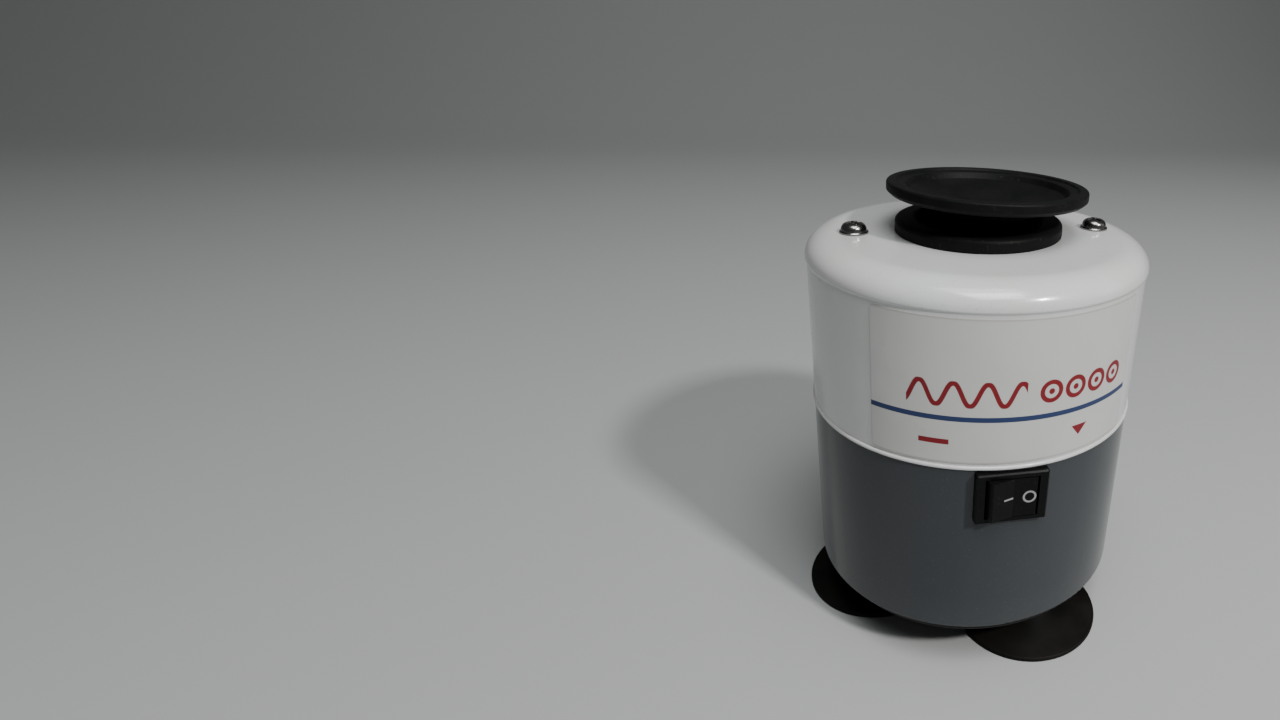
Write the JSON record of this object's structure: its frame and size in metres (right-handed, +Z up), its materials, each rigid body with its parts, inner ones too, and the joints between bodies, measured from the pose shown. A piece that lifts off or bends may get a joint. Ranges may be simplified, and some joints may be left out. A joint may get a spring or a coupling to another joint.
{
  "type": "vortex mixer",
  "caption": "Round bench mixer with a white cover over a grey shell, rocker switch, suction feet and a black rubber cup that orbits on an eccentric motor drive.",
  "frame": {"origin": "on the motor's axis, at the level of the bench the suction feet stand on", "axes": "+Z up along the motor's axis; the front with the label and the rocker switch faces -Y; +X is to the right seen from the front"},
  "size_m": [0.1372, 0.1424, 0.1807],
  "materials": {
    "white_enamel": "glossy",
    "grey_enamel": "glossy",
    "black_paint": "satin",
    "label_film": "satin film",
    "black_rubber": "matte",
    "foot_rubber": "matte",
    "black_plastic": "glossy",
    "nylon": "satin",
    "grey_plastic": "matte",
    "chrome_screw": "bright",
    "zinc_steel": "zinc plated",
    "bearing_steel": "ground",
    "cast_aluminium": "cast",
    "lamination_steel": "stacked laminations",
    "copper_winding": "enamelled copper wire",
    "bronze": "sintered",
    "tinned_brass": "tinned",
    "can_aluminium": "drawn",
    "spring_steel": "drawn wire"
  },
  "bodies": {
    "root": {"upper_cover": "white_enamel", "lower_shell": "grey_enamel", "base_plate": "black_paint", "base_screws": "zinc_steel", "tie_pillars": "zinc_steel", "cover_washers": "chrome_screw", "cover_screws": "chrome_screw", "support_ring": "black_rubber", "label_panel": "label_film", "foot_left": "foot_rubber", "foot_front": "foot_rubber", "foot_rear": "foot_rubber", "foot_studs": "zinc_steel", "foot_washers": "zinc_steel", "guide_posts": "bearing_steel", "stop_nuts": "zinc_steel", "return_springs": "spring_steel", "switch_housing": "black_plastic", "rocker_pin": "zinc_steel", "switch_blades": "tinned_brass", "microswitch": "black_plastic", "switch_bracket": "zinc_steel", "capacitor": "can_aluminium", "capacitor_strap": "zinc_steel", "terminal_block": "nylon", "cable_gland": "grey_plastic", "gland_nut": "grey_plastic"},
    "carriage": {"motor_plate": "zinc_steel", "guide_bushes": "nylon", "stator_core": "lamination_steel", "stator_coils": "copper_winding", "lower_bracket": "cast_aluminium", "upper_bracket": "cast_aluminium", "lower_bush": "bronze", "upper_bush": "bronze", "thrust_pad": "nylon", "motor_bolts": "zinc_steel", "motor_nuts": "zinc_steel"},
    "rotor": {"motor_shaft": "bearing_steel", "rotor_core": "lamination_steel", "rotor_cage": "cast_aluminium", "cooling_fan": "grey_plastic", "eccentric": "zinc_steel", "set_screw": "zinc_steel", "crank_pin": "bearing_steel", "bearing_spacer": "zinc_steel", "pin_clip": "spring_steel", "bearing_inner_race": "bearing_steel"},
    "ball_train": {"bearing_balls": "bearing_steel", "ball_cage": "nylon"},
    "head": {"bearing_outer_race": "bearing_steel", "head_hub": "cast_aluminium", "splash_skirt": "black_rubber", "rubber_cup": "black_rubber"},
    "rocker": {"rocker": "black_plastic"},
    "plunger": {"switch_plunger": "nylon"}
  },
  "joints": [
    {"name": "press_travel", "type": "slide", "parent": "root", "child": "carriage", "axis": [0, 0, -1], "range_m": [0, 0.002], "stiffness_N_per_m": 6000, "springref_m": -0.006, "deforming": ["return_springs"]},
    {"name": "rotor_spin", "type": "hinge", "parent": "carriage", "child": "rotor", "pos_m": [0, 0, 0.1], "axis": [0, 0, 1], "continuous": true},
    {"name": "head_orbit", "type": "hinge", "parent": "rotor", "child": "head", "pos_m": [0.0025, 0, 0.15], "axis": [0, 0, 1], "continuous": true},
    {"name": "ball_train_spin", "type": "hinge", "parent": "rotor", "child": "ball_train", "pos_m": [0.0025, 0, 0.1465], "axis": [0, 0, 1], "continuous": true},
    {"name": "rocker_swing", "type": "hinge", "parent": "root", "child": "rocker", "pos_m": [0, -0.064, 0.0848], "axis": [0, 0, 1], "range_deg": [0, 18]},
    {"name": "plunger_travel", "type": "slide", "parent": "root", "child": "plunger", "axis": [0, 0, -1], "range_m": [0, 0.002]}
  ],
  "couplings": [
    {"joint": "head_orbit", "follows": "rotor_spin", "ratio": -1},
    {"joint": "ball_train_spin", "follows": "rotor_spin", "ratio": -0.6333},
    {"joint": "plunger_travel", "follows": "press_travel", "ratio": 1}
  ]
}
